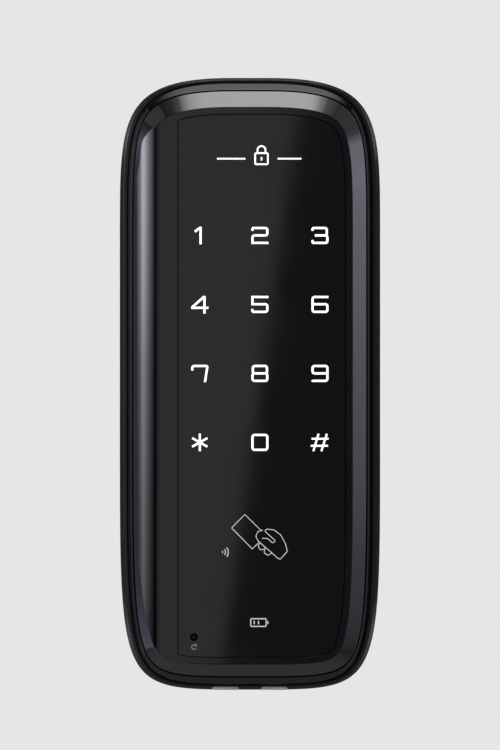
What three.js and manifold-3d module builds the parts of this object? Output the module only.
// Outdoor keypad unit of a rim-type smart door lock, as an assembly of separate solids.
// Units are millimetres. Seen from outside the door, +X is right and +Z is up; +Y points into the door.
// The origin is the centre of the gasket face that rests on the door, so the unit's face has the lowest Y.
import * as THREE from "three";
import { mergeVertices } from "three/addons/utils/BufferGeometryUtils.js";
import Module from "manifold-3d";

const wasm = await Module();
wasm.setup();

// ---------------------------------------------------------------- driving dimensions

const HALF_WIDTH = 34.05;
const HALF_HEIGHT = 80;
// Each corner is one cubic curve: it leaves the end edge at x = flat with a handle of length pull, and
// joins the side edge at a height of drop from the end, with a handle of length hold.
const TOP_CORNER = { flat: 5, pull: 28.1, drop: 37.1, hold: 27.2 };
const BOTTOM_CORNER = { flat: 2.6, pull: 30.8, drop: 60, hold: 60 };
const CORNER_STEPS = 10;

// Stations along Y, from the door outwards.
const DOOR = 0;
const CASE_BACK = -1.2;
const RECESS_FLOOR = -2.7;
const CASE_FLOOR = -4.4;
const SHOULDER_START = -5.4;
const CASE_RIM = -9.8;
const COVER_RIM = -10.1;
const BOARD_BACK = -13.6;
const BOARD_FRONT = -15.2;
const BEVEL_START = -16.4;
const COVER_CEILING = -16.6;
const WINDOW_LEDGE = -18.4;
const WINDOW_BACK = -18.6;
const FACE = -20;
const BEYOND = 5; // how far a cutting tool runs past what it cuts

// Insets of each outline from the widest one.
const SHOULDER_INSET = 1.15;
const COVER_RIM_INSET = 1.3;
const SIDE_TUCK = 0.75; // the parting line lies this much further in at the sides
const BEVEL_INSET = 3.7;
const FACE_INSET = 7.25;
const FACE_DROP = 0.55; // the flat face sits this much lower than the outline's centre
const WINDOW_INSET = 9.2;
const CASE_WALL = 3.7;
const COVER_WALL_AT_RIM = 3.75;
const COVER_WALL_AT_CEILING = 5.4;
const BOARD_INSET = 6.6;

// The left edge of the face rolls away in a large arc.
const ROLL_START = -22;
const ROLL_RADIUS = 11;
const ROLL_ANGLE = 52;

// Window, and the opening behind it.
const WINDOW_LEFT = -18.7;
const WINDOW_GAP = 0.2;
const LEDGE = 2.2; // width of the ledge that the window is taped to
const FIT = 0.2; // play around a piece that drops into an opening

// Keypad: three columns and four rows.
const KEY_LEFT = -13.1;
const KEY_TOP = 38.72;
const KEY_PITCH_X = 15.68;
const KEY_PITCH_Z = 18;
const KEY_COLUMNS = 3;
const LIGHT_WELL_RADIUS = 4.3;
const KEY_NAMES = ["1", "2", "3", "4", "5", "6", "7", "8", "9", "star", "0", "hash"];

const RESET = { x: -14.6, z: -66.1, hole: 0.95 };
const TAMPER = { x: 0, z: -20, hole: 1.9 };
const CABLE = { x: 0, z: 20, bore: 4 };
const POST_Z = 44;
const CASE_SCREW = { x: 27.2, z: 50 };
const PLATE_SCREW = { x: 17, z: 58 };
const CONTACT_PITCH = 12.7; // the two snap terminals of a nine volt battery
const CONTACT_WIDTH = 6.9;

const ROUND = 18; // sides of an ordinary round piece
const SMALL_ROUND = 12;

// ---------------------------------------------------------------- materials

function material(name, color, roughness, metalness) {
  return new THREE.MeshStandardMaterial({ name, color, roughness, metalness });
}

const GLOSS_BLACK = material("gloss_black", 0x0b0b0e, 0.08, 0);
const SATIN_BLACK = material("satin_black", 0x1b1c1d, 0.45, 0);
const WINDOW_BLACK = material("window_black", 0x07070a, 0.04, 0);
const RUBBER = material("rubber", 0x151515, 0.85, 0);
const WHITE_PLASTIC = material("white_plastic", 0xe9ebe6, 0.5, 0);
const FILM = material("film", 0xf4f4f0, 0.4, 0);
const BOARD_GREEN = material("board_green", 0x0f4a2c, 0.4, 0);
const CHIP_BLACK = material("chip_black", 0x16161a, 0.55, 0);
const COPPER = material("copper", 0xb87333, 0.3, 1);
const FERRITE = material("ferrite", 0x2b2b30, 0.6, 0);
const FOAM = material("foam", 0x222224, 0.95, 0);
const NICKEL = material("nickel", 0xc9c9c4, 0.25, 1);
const ZINC_STEEL = material("zinc_steel", 0xb9bcc0, 0.35, 1);
const LABEL = material("label", 0xd8d9d6, 0.5, 0);
const LEAD_RED = material("lead_red", 0xa01818, 0.5, 0);
const LEAD_BLACK = material("lead_black", 0x101010, 0.5, 0);

// ---------------------------------------------------------------- solids

// A closed three.js geometry as a manifold-3d solid.
function solid(geometry) {
  const bare = geometry.clone();
  bare.deleteAttribute("normal");
  bare.deleteAttribute("uv");
  const merged = mergeVertices(bare, 1e-4);
  return new wasm.Manifold(
    new wasm.Mesh({
      numProp: 3,
      vertProperties: merged.attributes.position.array,
      triVerts: new Uint32Array(merged.index.array),
    }),
  );
}

// A manifold-3d solid as a three.js geometry.
function geometryOf(made) {
  const data = made.getMesh();
  const positions = new Float32Array(data.numVert * 3);
  for (let i = 0; i < data.numVert; i++) {
    const start = i * data.numProp;
    positions.set(data.vertProperties.subarray(start, start + 3), i * 3);
  }
  const geometry = new THREE.BufferGeometry();
  geometry.setAttribute("position", new THREE.BufferAttribute(positions, 3));
  geometry.setIndex(new THREE.BufferAttribute(data.triVerts, 1));
  geometry.computeVertexNormals();
  return geometry;
}

function cut(body, ...tools) {
  return tools.reduce((left, tool) => left.subtract(tool), body);
}

function join(body, ...more) {
  return more.reduce((sum, piece) => sum.add(piece), body);
}

// The unit's outline as points (x, z), counter-clockwise from the right side: moved inwards by inset,
// lowered by drop, and made narrower on each side by tuck.
function outline(inset, drop = 0, tuck = 0) {
  const shape = new THREE.Shape();
  const top = HALF_HEIGHT;
  const right = HALF_WIDTH;
  const { flat: tf, pull: tp, drop: td, hold: th } = TOP_CORNER;
  const { flat: bf, pull: bp, drop: bd, hold: bh } = BOTTOM_CORNER;
  shape.moveTo(right, top - td);
  shape.bezierCurveTo(right, top - td + th, tf + tp, top, tf, top);
  shape.lineTo(-tf, top);
  shape.bezierCurveTo(-tf - tp, top, -right, top - td + th, -right, top - td);
  shape.lineTo(-right, bd - top);
  shape.bezierCurveTo(-right, bd - bh - top, -bf - bp, -top, -bf, -top);
  shape.lineTo(bf, -top);
  shape.bezierCurveTo(bf + bp, -top, right, bd - bh - top, right, bd - top);
  const points = shape.getPoints(CORNER_STEPS);
  if (points[0].distanceTo(points[points.length - 1]) < 1e-6) points.pop();
  return points.map((point, i) => {
    const before = points[(i + points.length - 1) % points.length];
    const after = points[(i + 1) % points.length];
    const a = point.clone().sub(before).normalize();
    const b = after.clone().sub(point).normalize();
    const mitre = inset / (1 + a.dot(b));
    const x = (point.x - (a.y + b.y) * mitre) * (1 - tuck / HALF_WIDTH);
    return new THREE.Vector2(x, point.y + (a.x + b.x) * mitre - drop);
  });
}

// Closed solid through outlines of equal length, each {y, points}, listed from the back to the front.
function loft(levels) {
  const count = levels[0].points.length;
  const positions = [];
  const index = [];
  for (const { y, points } of levels) {
    for (const point of points) positions.push(point.x, y, point.y);
  }
  for (let level = 0; level + 1 < levels.length; level++) {
    for (let i = 0; i < count; i++) {
      const a = level * count + i;
      const b = level * count + ((i + 1) % count);
      index.push(a, b, b + count, a, b + count, a + count);
    }
  }
  const last = (levels.length - 1) * count;
  for (const [a, b, c] of THREE.ShapeUtils.triangulateShape(levels[0].points, [])) {
    index.push(a, c, b);
  }
  for (const [a, b, c] of THREE.ShapeUtils.triangulateShape(levels[levels.length - 1].points, [])) {
    index.push(last + a, last + b, last + c);
  }
  const geometry = new THREE.BufferGeometry();
  geometry.setAttribute("position", new THREE.Float32BufferAttribute(positions, 3));
  geometry.setIndex(index);
  return solid(geometry);
}

// A shape or outline drawn in (x, z), extruded along Y between two stations.
function prism(drawn, back, front, curveSegments = 6) {
  const shape = Array.isArray(drawn) ? new THREE.Shape(drawn) : drawn;
  const options = { depth: back - front, bevelEnabled: false, curveSegments };
  const geometry = new THREE.ExtrudeGeometry(shape, options);
  geometry.rotateX(Math.PI / 2);
  geometry.translate(0, back, 0);
  return solid(geometry);
}

function block(left, right, back, front, bottom, top) {
  const geometry = new THREE.BoxGeometry(right - left, back - front, top - bottom);
  geometry.translate((left + right) / 2, (back + front) / 2, (bottom + top) / 2);
  return solid(geometry);
}

// A round bar along Y, from back to front, at (x, z); it may taper to another radius at the front.
function rod(x, z, radius, back, front, sides = ROUND, frontRadius = radius) {
  const geometry = new THREE.CylinderGeometry(radius, frontRadius, back - front, sides);
  geometry.translate(x, (back + front) / 2, z);
  return solid(geometry);
}

// A turned piece about Y; the profile is a list of [radius, y].
function turned(profile, sides = ROUND) {
  return solid(new THREE.LatheGeometry(profile.map(([r, y]) => new THREE.Vector2(r, y)), sides));
}

function roundedRect({ left, right, bottom, top, radius }) {
  const shape = new THREE.Shape();
  shape.moveTo(left + radius, bottom);
  shape.lineTo(right - radius, bottom);
  shape.absarc(right - radius, bottom + radius, radius, -Math.PI / 2, 0);
  shape.lineTo(right, top - radius);
  shape.absarc(right - radius, top - radius, radius, 0, Math.PI / 2);
  shape.lineTo(left + radius, top);
  shape.absarc(left + radius, top - radius, radius, Math.PI / 2, Math.PI);
  shape.lineTo(left, bottom + radius);
  shape.absarc(left + radius, bottom + radius, radius, Math.PI, 1.5 * Math.PI);
  return shape;
}

function grown(rect, by) {
  return {
    left: rect.left - by,
    right: rect.right + by,
    bottom: rect.bottom - by,
    top: rect.top + by,
    radius: Math.max(rect.radius + by, 0.3),
  };
}

// The window's shape, which is cut straight on its left, shrunk by the given amount all round.
function windowPanel(shrink, back, front, bottom = -HALF_HEIGHT) {
  const scaleX = 1 - shrink / (HALF_WIDTH - WINDOW_INSET);
  const scaleZ = 1 - shrink / (HALF_HEIGHT - WINDOW_INSET);
  const points = outline(WINDOW_INSET).map(
    (point) => new THREE.Vector2(point.x * scaleX, point.y * scaleZ - FACE_DROP),
  );
  const keep = block(WINDOW_LEFT + shrink, HALF_WIDTH, back, front, bottom, HALF_HEIGHT);
  return prism(points, back, front).intersect(keep);
}

// A tube of round section along a curve, with flat ends.
function tubeAlong(curve, radius, steps, sides = 8) {
  const section = new THREE.Shape();
  section.absarc(0, 0, radius, 0, 2 * Math.PI);
  const options = { steps, curveSegments: sides / 2, extrudePath: curve, bevelEnabled: false };
  return new THREE.ExtrudeGeometry(section, options);
}

// The four places that mirror one point across both axes.
function corners({ x, z }) {
  return [
    [-x, z],
    [x, z],
    [-x, -z],
    [x, -z],
  ];
}

// ---------------------------------------------------------------- assembly helpers

const unit = new THREE.Group();
unit.name = "keypad_lock_unit";

function group(name) {
  const made = new THREE.Group();
  made.name = name;
  unit.add(made);
  return made;
}

function add(parent, name, piece, finish, x = 0, y = 0, z = 0) {
  const geometry = piece.isBufferGeometry ? piece : geometryOf(piece);
  const mesh = new THREE.Mesh(geometry, finish);
  mesh.name = name;
  mesh.position.set(x, y, z);
  parent.add(mesh);
  return mesh;
}

// ---------------------------------------------------------------- housing

// The rear case's steep shoulder, and the narrow lip that ends at the parting line.
const SHOULDER = [
  { inset: 0.1, y: SHOULDER_START - 1.6 },
  { inset: 0.55, y: CASE_RIM + 0.12 },
  { inset: SHOULDER_INSET, y: CASE_RIM },
];

function shoulderLevels() {
  return SHOULDER.map(({ inset, y }) => {
    const tuck = (SIDE_TUCK * inset) / SHOULDER_INSET;
    return { y, points: outline(inset, 0, tuck) };
  });
}

const PLATE = { left: -22, right: 22, bottom: -66, top: 66, radius: 5 };
const PLATE_PLAY = 0.25;
const TONGUE = { outer: 2.75, inner: CASE_WALL, front: -10.9 };
const GASKET = { outer: 1.4, inner: 4.4, grooveFloor: -2.2, play: 0.1 };
const POST_POCKET_RADIUS = 4.7;
const GROMMET = { neck: 5.8, flange: 7.2, hole: 6, inner: -5.6, outer: -1.5 };
const CASE_SCREW_HOLE = 1.15;
const CASE_SCREW_HEAD = 2.2;
const PLATE_BOSS = { radius: 2.4, front: -7.4, pilot: 0.8 };
const CONTACT = { floor: -80, thick: 0.8, front: -8.9, back: -2.7, leg: -6.4, top: -72.5, play: 0.1 };

function rearCase() {
  const outer = loft([
    { y: CASE_BACK, points: outline(0.5) },
    { y: CASE_BACK - 0.7, points: outline(0) },
    { y: SHOULDER_START, points: outline(0) },
    ...shoulderLevels(),
  ]);
  const tongue = prism(outline(TONGUE.outer), CASE_RIM + 1, TONGUE.front);
  const cavity = prism(outline(CASE_WALL), CASE_FLOOR, TONGUE.front - BEYOND);
  const bosses = corners(PLATE_SCREW).map(([x, z]) =>
    rod(x, z, PLATE_BOSS.radius, CASE_FLOOR + 0.5, PLATE_BOSS.front, SMALL_ROUND),
  );
  let body = join(cut(join(outer, tongue), cavity), ...bosses);
  const recess = prism(roundedRect(grown(PLATE, PLATE_PLAY)), BEYOND, RECESS_FLOOR);
  const groove = cut(
    prism(outline(GASKET.outer - GASKET.play), BEYOND, GASKET.grooveFloor),
    prism(outline(GASKET.inner + GASKET.play), BEYOND, GASKET.grooveFloor),
  );
  const through = [
    rod(CABLE.x, CABLE.z, GROMMET.hole, BEYOND, CASE_FLOOR - 1),
    rod(TAMPER.x, TAMPER.z, TAMPER.hole, BEYOND, CASE_FLOOR - 1, SMALL_ROUND),
    rod(0, POST_Z, POST_POCKET_RADIUS, BEYOND, CASE_FLOOR - 1),
    rod(0, -POST_Z, POST_POCKET_RADIUS, BEYOND, CASE_FLOOR - 1),
  ];
  const screwHoles = corners(CASE_SCREW).flatMap(([x, z]) => [
    rod(x, z, CASE_SCREW_HOLE, BEYOND, CASE_FLOOR - 1, SMALL_ROUND),
    rod(x, z, CASE_SCREW_HEAD, BEYOND, RECESS_FLOOR, SMALL_ROUND),
  ]);
  const pilots = corners(PLATE_SCREW).map(([x, z]) =>
    rod(x, z, PLATE_BOSS.pilot, BEYOND, PLATE_BOSS.front + 0.6, 12),
  );
  body = cut(body, recess, groove, ...through, ...screwHoles, ...pilots);
  const { floor, thick, back, leg, play } = CONTACT;
  const half = CONTACT_WIDTH / 2 + play;
  for (const x of [-CONTACT_PITCH / 2, CONTACT_PITCH / 2]) {
    const left = x - half;
    const right = x + half;
    const pocket = block(left, right, back + play, CASE_RIM - 1, floor - 1, floor + thick + play);
    const slot = block(left, right, leg + thick + play, leg - play, floor - 1, floor + CASE_WALL + 1);
    body = cut(body, pocket, slot);
  }
  return body;
}

const COVER_BOSS = { radius: 2.3, back: -4.8, front: -16.9, pilot: 0.85, pilotFront: -12.5 };
const BOARD_BOSS_RADIUS = 1.9;
const BOARD_SCREWS = [
  [-19.4, 60],
  [24.6, 62],
  [-19.4, -58],
  [24.6, -60],
];
const BOARD_PILOT = { radius: 0.8, front: -17.9 };
const RABBET = { outer: 2.6, floor: -11.9 };

// The profile (x, y) of the rolled left edge, which trims the bevelled cover.
function rollPrism() {
  const shape = new THREE.Shape();
  shape.moveTo(HALF_WIDTH + BEYOND, DOOR);
  shape.lineTo(HALF_WIDTH + BEYOND, FACE);
  shape.lineTo(ROLL_START, FACE);
  const end = THREE.MathUtils.degToRad(270 - ROLL_ANGLE);
  shape.absarc(ROLL_START, FACE + ROLL_RADIUS, ROLL_RADIUS, 1.5 * Math.PI, end, true);
  const height = FACE + ROLL_RADIUS * (1 - Math.cos(THREE.MathUtils.degToRad(ROLL_ANGLE)));
  shape.lineTo(-HALF_WIDTH - BEYOND, height);
  shape.lineTo(-HALF_WIDTH - BEYOND, DOOR);
  const length = 2 * (HALF_HEIGHT + BEYOND);
  const options = { depth: length, bevelEnabled: false, curveSegments: 12 };
  const geometry = new THREE.ExtrudeGeometry(shape, options);
  geometry.translate(0, 0, -length / 2);
  return solid(geometry);
}

function frontCase() {
  const bevelled = loft([
    { y: COVER_RIM, points: outline(COVER_RIM_INSET, 0, SIDE_TUCK) },
    { y: BEVEL_START, points: outline(BEVEL_INSET) },
    { y: FACE, points: outline(FACE_INSET, FACE_DROP) },
  ]);
  const cavity = loft([
    { y: COVER_RIM + 1, points: outline(COVER_WALL_AT_RIM) },
    { y: COVER_RIM, points: outline(COVER_WALL_AT_RIM) },
    { y: COVER_CEILING, points: outline(COVER_WALL_AT_CEILING) },
  ]);
  const rabbet = prism(outline(RABBET.outer), COVER_RIM + 1, RABBET.floor);
  const caseBosses = corners(CASE_SCREW).map(([x, z]) =>
    rod(x, z, COVER_BOSS.radius, COVER_BOSS.back, COVER_BOSS.front, SMALL_ROUND),
  );
  const boardBosses = BOARD_SCREWS.map(([x, z]) =>
    rod(x, z, BOARD_BOSS_RADIUS, BOARD_FRONT, COVER_BOSS.front, SMALL_ROUND),
  );
  const hollow = cut(bevelled.intersect(rollPrism()), cavity, rabbet);
  const pilots = [
    ...corners(CASE_SCREW).map(([x, z]) => rod(x, z, COVER_BOSS.pilot, DOOR, COVER_BOSS.pilotFront, 12)),
    ...BOARD_SCREWS.map(([x, z]) => rod(x, z, BOARD_PILOT.radius, DOOR, BOARD_PILOT.front, 12)),
  ];
  const seat = windowPanel(-WINDOW_GAP, WINDOW_LEDGE, FACE - BEYOND);
  const opening = windowPanel(LEDGE, COVER_RIM, FACE - BEYOND);
  return cut(join(hollow, ...caseBosses, ...boardBosses), ...pilots, seat, opening);
}

const SEAL = { outer: 2.85, inner: 3.6, back: -11, front: -11.8 };

function caseSeal() {
  const inner = prism(outline(SEAL.inner), SEAL.back + 1, SEAL.front - 1);
  return cut(prism(outline(SEAL.outer), SEAL.back, SEAL.front), inner);
}

const housing = group("housing");
add(housing, "rear_case", rearCase(), SATIN_BLACK);
add(housing, "front_case", frontCase(), GLOSS_BLACK);
add(housing, "case_seal", caseSeal(), RUBBER);

// ---------------------------------------------------------------- keypad stack

const FILM_BACK = -18.35;
const GUIDE = { back: -15.3, front: -18.3, bottom: -24 };

function keyPlaces() {
  return KEY_NAMES.map((name, i) => ({
    name,
    x: KEY_LEFT + KEY_PITCH_X * (i % KEY_COLUMNS),
    z: KEY_TOP - KEY_PITCH_Z * Math.floor(i / KEY_COLUMNS),
  }));
}

function touchWindow() {
  const hole = rod(RESET.x, RESET.z, RESET.hole, DOOR, FACE - 1, ROUND);
  return cut(windowPanel(0, WINDOW_BACK, FACE), hole);
}

// A frame of double-sided tape between the window and its ledge.
function windowAdhesive() {
  return cut(windowPanel(FIT, WINDOW_LEDGE, WINDOW_BACK), windowPanel(LEDGE - FIT, DOOR, FACE));
}

// The part of the opening that the keys take up.
function keyPanel(back, front) {
  return windowPanel(LEDGE + FIT, back, front, GUIDE.bottom);
}

function lightGuide() {
  const slab = keyPanel(GUIDE.back, GUIDE.front);
  const wells = keyPlaces().map(({ x, z }) => rod(x, z, LIGHT_WELL_RADIUS, DOOR, FACE, SMALL_ROUND));
  return cut(slab, ...wells);
}

const keypad = group("keypad");
add(keypad, "touch_window", touchWindow(), WINDOW_BLACK);
add(keypad, "window_adhesive", windowAdhesive(), FOAM);
add(keypad, "diffuser_film", keyPanel(FILM_BACK, WINDOW_BACK), FILM);
add(keypad, "light_guide", lightGuide(), WHITE_PLASTIC);

// ---------------------------------------------------------------- electronics

const BOARD = { left: -22.4, right: 26.4 };

function mainBoard() {
  const slab = prism(outline(BOARD_INSET), BOARD_BACK, BOARD_FRONT).intersect(
    block(BOARD.left, BOARD.right, BOARD_BACK, BOARD_FRONT, -72, 72),
  );
  const notches = corners(CASE_SCREW).map(([x, z]) =>
    rod(x, z, COVER_BOSS.radius + 0.5, DOOR, FACE, SMALL_ROUND),
  );
  const holes = BOARD_SCREWS.map(([x, z]) => rod(x, z, 1.1, DOOR, FACE, SMALL_ROUND));
  return cut(slab, ...notches, ...holes);
}

const LED = { width: 2, height: 1.25, thick: 0.7 };

const CONTROLLER = { width: 10, height: 10, thick: 1.4 };
const TOUCH_CHIP = { width: 7, height: 7, thick: 1 };
const READER_CHIP = { width: 5, height: 5, thick: 0.9 };

// A flat rectangular piece that stands on y = 0, such as a chip (its pins are left out) or a pad.
function pad({ width, height, thick }) {
  return block(-width / 2, width / 2, thick, 0, -height / 2, height / 2);
}

function harnessSocket() {
  const body = block(-6, 6, 6, 0, -2.6, 2.6);
  const mouth = block(-5.2, 5.2, 7, 1.2, -1.8, 1.8);
  const latch = block(-2, 2, 7, 2.5, 1, 4);
  return cut(body, mouth, latch);
}

function buzzer() {
  return cut(rod(0, 0, 6, 4.6, 0), rod(0, 0, 1.2, 6, 3.4, SMALL_ROUND));
}

function capacitor() {
  const can = 2.5;
  const neck = 2.3;
  return turned([
    [0, 0],
    [can, 0],
    [can, 4.2],
    [neck, 4.4],
    [neck, 4.7],
    [can, 4.9],
    [can, 5.6],
    [can - 0.3, 5.9],
    [0, 5.9],
  ]);
}

const ANTENNA = { left: -15, right: 20.6, bottom: -59, top: -26.5, radius: 3 };
const COIL = { width: 3, back: -17.9, front: -18.4 };
const FERRITE_SHEET = { width: 34, height: 31, thick: 0.3, front: -17.8 };
const FOAM_PAD = { width: 33, height: 30, thick: 2, front: -17.4 };

function antennaCoil() {
  const inside = prism(roundedRect(grown(ANTENNA, -COIL.width)), DOOR, FACE, 3);
  return cut(prism(roundedRect(ANTENNA), COIL.back, COIL.front, 3), inside);
}

const SWITCH = { half: 1.7, front: -16.9, bore: 1, boreBack: -15.8 };
const RESET_BUTTON = { radius: 0.8, front: -18.2, back: -16.25, edge: 0.2 };

function resetSwitch() {
  const { half, front, bore, boreBack } = SWITCH;
  const { x, z } = RESET;
  const body = block(x - half, x + half, BOARD_FRONT, front, z - half, z + half);
  return cut(body, rod(x, z, bore, boreBack, front - 1, SMALL_ROUND));
}

function resetButton() {
  const { radius, front, back, edge } = RESET_BUTTON;
  return turned(
    [
      [0, front],
      [radius - edge, front],
      [radius, front + edge],
      [radius, back],
      [0, back],
    ],
    SMALL_ROUND,
  );
}

const PLUNGER = { tip: 2, radius: 1.5, stem: 1.1, stemFront: -7.6 };
const PLUNGER_FLANGE = { radius: 2.7, back: -4.6, front: -5.6 };

function tamperPlunger() {
  const { tip, radius, stem, stemFront } = PLUNGER;
  const { radius: flange, back: flangeBack, front: flangeFront } = PLUNGER_FLANGE;
  return turned(
    [
      [0, stemFront],
      [stem, stemFront],
      [stem, flangeFront],
      [flange, flangeFront],
      [flange, flangeBack],
      [radius, flangeBack],
      [radius, tip - 0.5],
      [radius - 0.5, tip],
      [0, tip],
    ],
    SMALL_ROUND,
  );
}

const SPRING = { radius: 1.85, wire: 0.2, turns: 3.5, back: -5.85, front: -9.45 };

class Helix extends THREE.Curve {
  getPoint(t) {
    const angle = 2 * Math.PI * SPRING.turns * t;
    const y = SPRING.front + (SPRING.back - SPRING.front) * t;
    return new THREE.Vector3(SPRING.radius * Math.cos(angle), y, SPRING.radius * Math.sin(angle));
  }
}

function tamperSwitch() {
  const body = block(-3, 3, 3.6, 0, -3, 3);
  const actuator = rod(0, 0, 1, 3.9, 3, SMALL_ROUND);
  return join(body, actuator);
}

const electronics = group("electronics");
add(electronics, "main_board", mainBoard(), BOARD_GREEN);
for (const { name, x, z } of keyPlaces()) {
  const led = new THREE.BoxGeometry(LED.width, LED.thick, LED.height);
  add(electronics, `key_led_${name}`, led, WHITE_PLASTIC, x, BOARD_FRONT - LED.thick / 2, z);
}
add(electronics, "mcu_chip", pad(CONTROLLER), CHIP_BLACK, -10, BOARD_BACK, -2);
add(electronics, "touch_chip", pad(TOUCH_CHIP), CHIP_BLACK, 12, BOARD_BACK, 2);
add(electronics, "card_reader_chip", pad(READER_CHIP), CHIP_BLACK, -12, BOARD_BACK, -40);
add(electronics, "capacitor", capacitor(), NICKEL, 14, BOARD_BACK, 22);
add(electronics, "buzzer", buzzer(), CHIP_BLACK, 12, BOARD_BACK, -48);
add(electronics, "harness_socket", harnessSocket(), WHITE_PLASTIC, 0, BOARD_BACK, 34);
const antennaX = (ANTENNA.left + ANTENNA.right) / 2;
const antennaZ = (ANTENNA.bottom + ANTENNA.top) / 2;
add(electronics, "card_antenna_coil", antennaCoil(), COPPER);
add(electronics, "ferrite_sheet", pad(FERRITE_SHEET), FERRITE, antennaX, FERRITE_SHEET.front, antennaZ);
add(electronics, "antenna_foam", pad(FOAM_PAD), FOAM, antennaX, FOAM_PAD.front, antennaZ);
add(electronics, "reset_switch", resetSwitch(), CHIP_BLACK);
add(electronics, "reset_button", resetButton(), WHITE_PLASTIC, RESET.x, 0, RESET.z);
add(electronics, "tamper_switch", tamperSwitch(), CHIP_BLACK, TAMPER.x, BOARD_BACK, TAMPER.z);
add(electronics, "tamper_plunger", tamperPlunger(), WHITE_PLASTIC, TAMPER.x, 0, TAMPER.z);
add(electronics, "tamper_spring", tubeAlong(new Helix(), SPRING.wire, 44, 6), NICKEL, TAMPER.x, 0, TAMPER.z);

// ---------------------------------------------------------------- emergency battery contacts

// A bent nickel strip: its pad lies in the bottom of the rear case and its leg stands inside.
function emergencyContact() {
  const half = CONTACT_WIDTH / 2;
  const { floor, thick, front, back, leg, top } = CONTACT;
  const pad = block(-half, half, back, front, floor, floor + thick);
  const upright = block(-half + 0.8, half - 0.8, leg + thick, leg, floor + thick / 2, top);
  return join(pad, upright);
}

const CONTACT_BLOCK = { half: 12, back: -4.7, front: -8.2, bottom: -75.6, top: -70.5 };

function contactBlock() {
  const { half, back, front, bottom, top } = CONTACT_BLOCK;
  let body = block(-half, half, back, front, bottom, top);
  const slotHalf = CONTACT_WIDTH / 2 - 0.6;
  const slotBack = CONTACT.leg + CONTACT.thick + 0.15;
  const slotFront = CONTACT.leg - 0.15;
  for (const x of [-CONTACT_PITCH / 2, CONTACT_PITCH / 2]) {
    const slot = block(x - slotHalf, x + slotHalf, slotBack, slotFront, bottom - 1, CONTACT.top + 0.3);
    body = cut(body, slot);
  }
  return body;
}

// A wire from the contact block up to the board's back.
function contactLead(side) {
  const start = side * (CONTACT_PITCH / 2);
  const points = [
    [start, -7, CONTACT_BLOCK.top + 0.2],
    [start, -7, -67],
    [start * 0.9, -8.6, -64.5],
    [start * 0.8, -11.4, -63],
    [start * 0.8, BOARD_BACK + 0.2, -62.6],
  ];
  const curve = new THREE.CatmullRomCurve3(points.map((point) => new THREE.Vector3(...point)));
  return tubeAlong(curve, 0.7, 12);
}

const contacts = group("emergency_contacts");
add(contacts, "contact_block", contactBlock(), CHIP_BLACK);
add(contacts, "emergency_contact_left", emergencyContact(), NICKEL, -CONTACT_PITCH / 2);
add(contacts, "emergency_contact_right", emergencyContact(), NICKEL, CONTACT_PITCH / 2);
add(contacts, "contact_lead_left", contactLead(-1), LEAD_BLACK);
add(contacts, "contact_lead_right", contactLead(1), LEAD_RED);

// ---------------------------------------------------------------- door side

const POST = { head: 4.2, neck: 3, flange: 5.2, shank: 4, bore: 2.1, length: 16, boreFloor: 1 };
const COLLAR = { hole: 6, outer: 9 };
const BAR_HALF = 4;
const RATING_LABEL = { width: 26, height: 8, thick: 0.15 };
const SIDE_BAR_HALF = 2;

function mountPlate() {
  const slab = prism(roundedRect(PLATE), CASE_BACK, RECESS_FLOOR);
  const holes = [
    rod(0, POST_Z, POST.neck + 0.1, DOOR, FACE),
    rod(0, -POST_Z, POST.neck + 0.1, DOOR, FACE),
    rod(CABLE.x, CABLE.z, GROMMET.flange + 0.4, DOOR, FACE),
    rod(TAMPER.x, TAMPER.z, 3, DOOR, FACE, SMALL_ROUND),
  ];
  const sinks = corners(PLATE_SCREW).map(([x, z]) =>
    rod(x, z, 3, CASE_BACK + 1, RECESS_FLOOR - 1, SMALL_ROUND, 0.4),
  );
  const clearances = corners(PLATE_SCREW).map(([x, z]) => rod(x, z, 1.1, DOOR, FACE, SMALL_ROUND));
  return cut(slab, ...holes, ...sinks, ...clearances);
}

// A threaded sleeve, clinched into the plate, that the bolt from inside the door screws into.
function mountPost() {
  const { head, neck, flange, shank, bore, length, boreFloor } = POST;
  return turned([
    [0, RECESS_FLOOR - 0.9],
    [head, RECESS_FLOOR - 0.9],
    [head, RECESS_FLOOR],
    [neck, RECESS_FLOOR],
    [neck, CASE_BACK],
    [flange, CASE_BACK],
    [flange, DOOR],
    [shank, DOOR],
    [shank, length - 0.6],
    [shank - 0.6, length],
    [bore + 0.4, length],
    [bore, length - 0.4],
    [bore, boreFloor],
    [0, boreFloor],
  ]);
}

function cableGrommet() {
  const { neck, flange, inner, outer } = GROMMET;
  return turned([
    [CABLE.bore, outer],
    [CABLE.bore, inner],
    [flange, inner],
    [flange, CASE_FLOOR - 0.1],
    [neck, CASE_FLOOR - 0.1],
    [neck, RECESS_FLOOR + 0.1],
    [flange, RECESS_FLOOR + 0.1],
    [flange - 0.4, outer],
    [CABLE.bore, outer],
  ]);
}

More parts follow.
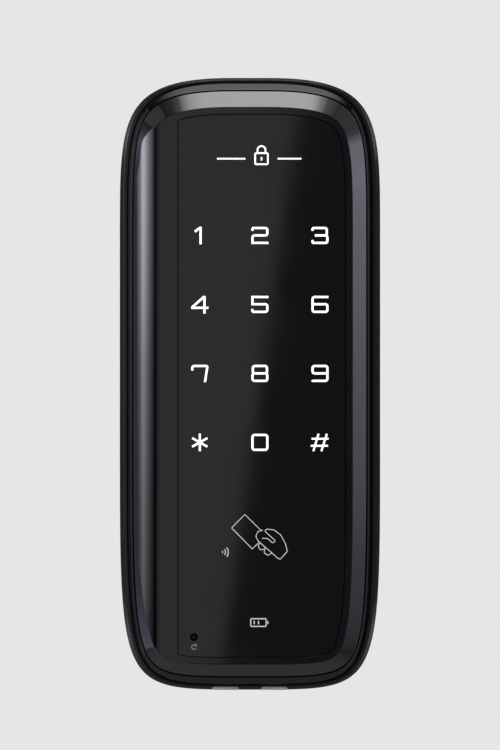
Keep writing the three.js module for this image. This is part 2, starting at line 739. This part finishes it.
// The door gasket: a rim that sits in the rear case's groove, tied by three bars with post collars.
function doorGasket() {
  const { outer, inner, grooveFloor } = GASKET;
  const rim = cut(prism(outline(outer), DOOR, grooveFloor), prism(outline(inner), BEYOND, grooveFloor - 1));
  const reach = HALF_WIDTH - inner + 1;
  const bars = [
    block(-reach, reach, DOOR, CASE_BACK, -BAR_HALF, BAR_HALF),
    ...[POST_Z, -POST_Z].flatMap((z) => [
      block(-reach, reach, DOOR, CASE_BACK, z - SIDE_BAR_HALF, z + SIDE_BAR_HALF),
      rod(0, z, COLLAR.outer, DOOR, CASE_BACK),
    ]),
  ];
  const holes = [POST_Z, -POST_Z].map((z) => rod(0, z, COLLAR.hole, BEYOND, FACE));
  return cut(join(rim, ...bars), ...holes);
}

const doorSide = group("door_side");
add(doorSide, "door_gasket", doorGasket(), RUBBER);
add(doorSide, "mount_plate", mountPlate(), ZINC_STEEL);
add(doorSide, "mount_post_upper", mountPost(), ZINC_STEEL, 0, 0, POST_Z);
add(doorSide, "mount_post_lower", mountPost(), ZINC_STEEL, 0, 0, -POST_Z);
add(doorSide, "cable_grommet", cableGrommet(), RUBBER, CABLE.x, 0, CABLE.z);
add(doorSide, "rating_label", pad(RATING_LABEL), LABEL, 0, CASE_BACK, -59);

// ---------------------------------------------------------------- screws, all driven from the door side

// Head at y = 0, tip towards the face, with a cross recess.
function screw({ head, shank, length, flush }) {
  const top = flush ? 0 : 1.2;
  const body = flush ? [[shank, shank - head], [head, 0]] : [[shank, 0], [head, 0], [head - 0.3, top]];
  const profile = [[0, -length], [shank, -length], ...body, [0, top]];
  const arm = head * 0.55;
  const half = head * 0.13;
  const slots = [
    block(-arm, arm, top + 1, top - 0.7, -half, half),
    block(-half, half, top + 1, top - 0.7, -arm, arm),
  ];
  return geometryOf(cut(turned(profile, SMALL_ROUND), ...slots));
}

const screws = group("screws");
const caseScrew = screw({ head: 2, shank: 0.8, length: 8, flush: false });
const boardScrew = screw({ head: 1.6, shank: 0.75, length: 4, flush: false });
const plateScrew = screw({ head: 1.9, shank: 0.75, length: 4.6, flush: true });
corners(CASE_SCREW).forEach(([x, z], i) => {
  add(screws, `case_screw_${i + 1}`, caseScrew, ZINC_STEEL, x, RECESS_FLOOR, z);
});
BOARD_SCREWS.forEach(([x, z], i) => {
  add(screws, `board_screw_${i + 1}`, boardScrew, ZINC_STEEL, x, BOARD_BACK, z);
});
corners(PLATE_SCREW).forEach(([x, z], i) => {
  add(screws, `plate_screw_${i + 1}`, plateScrew, ZINC_STEEL, x, CASE_BACK - 0.1, z);
});

export default unit;
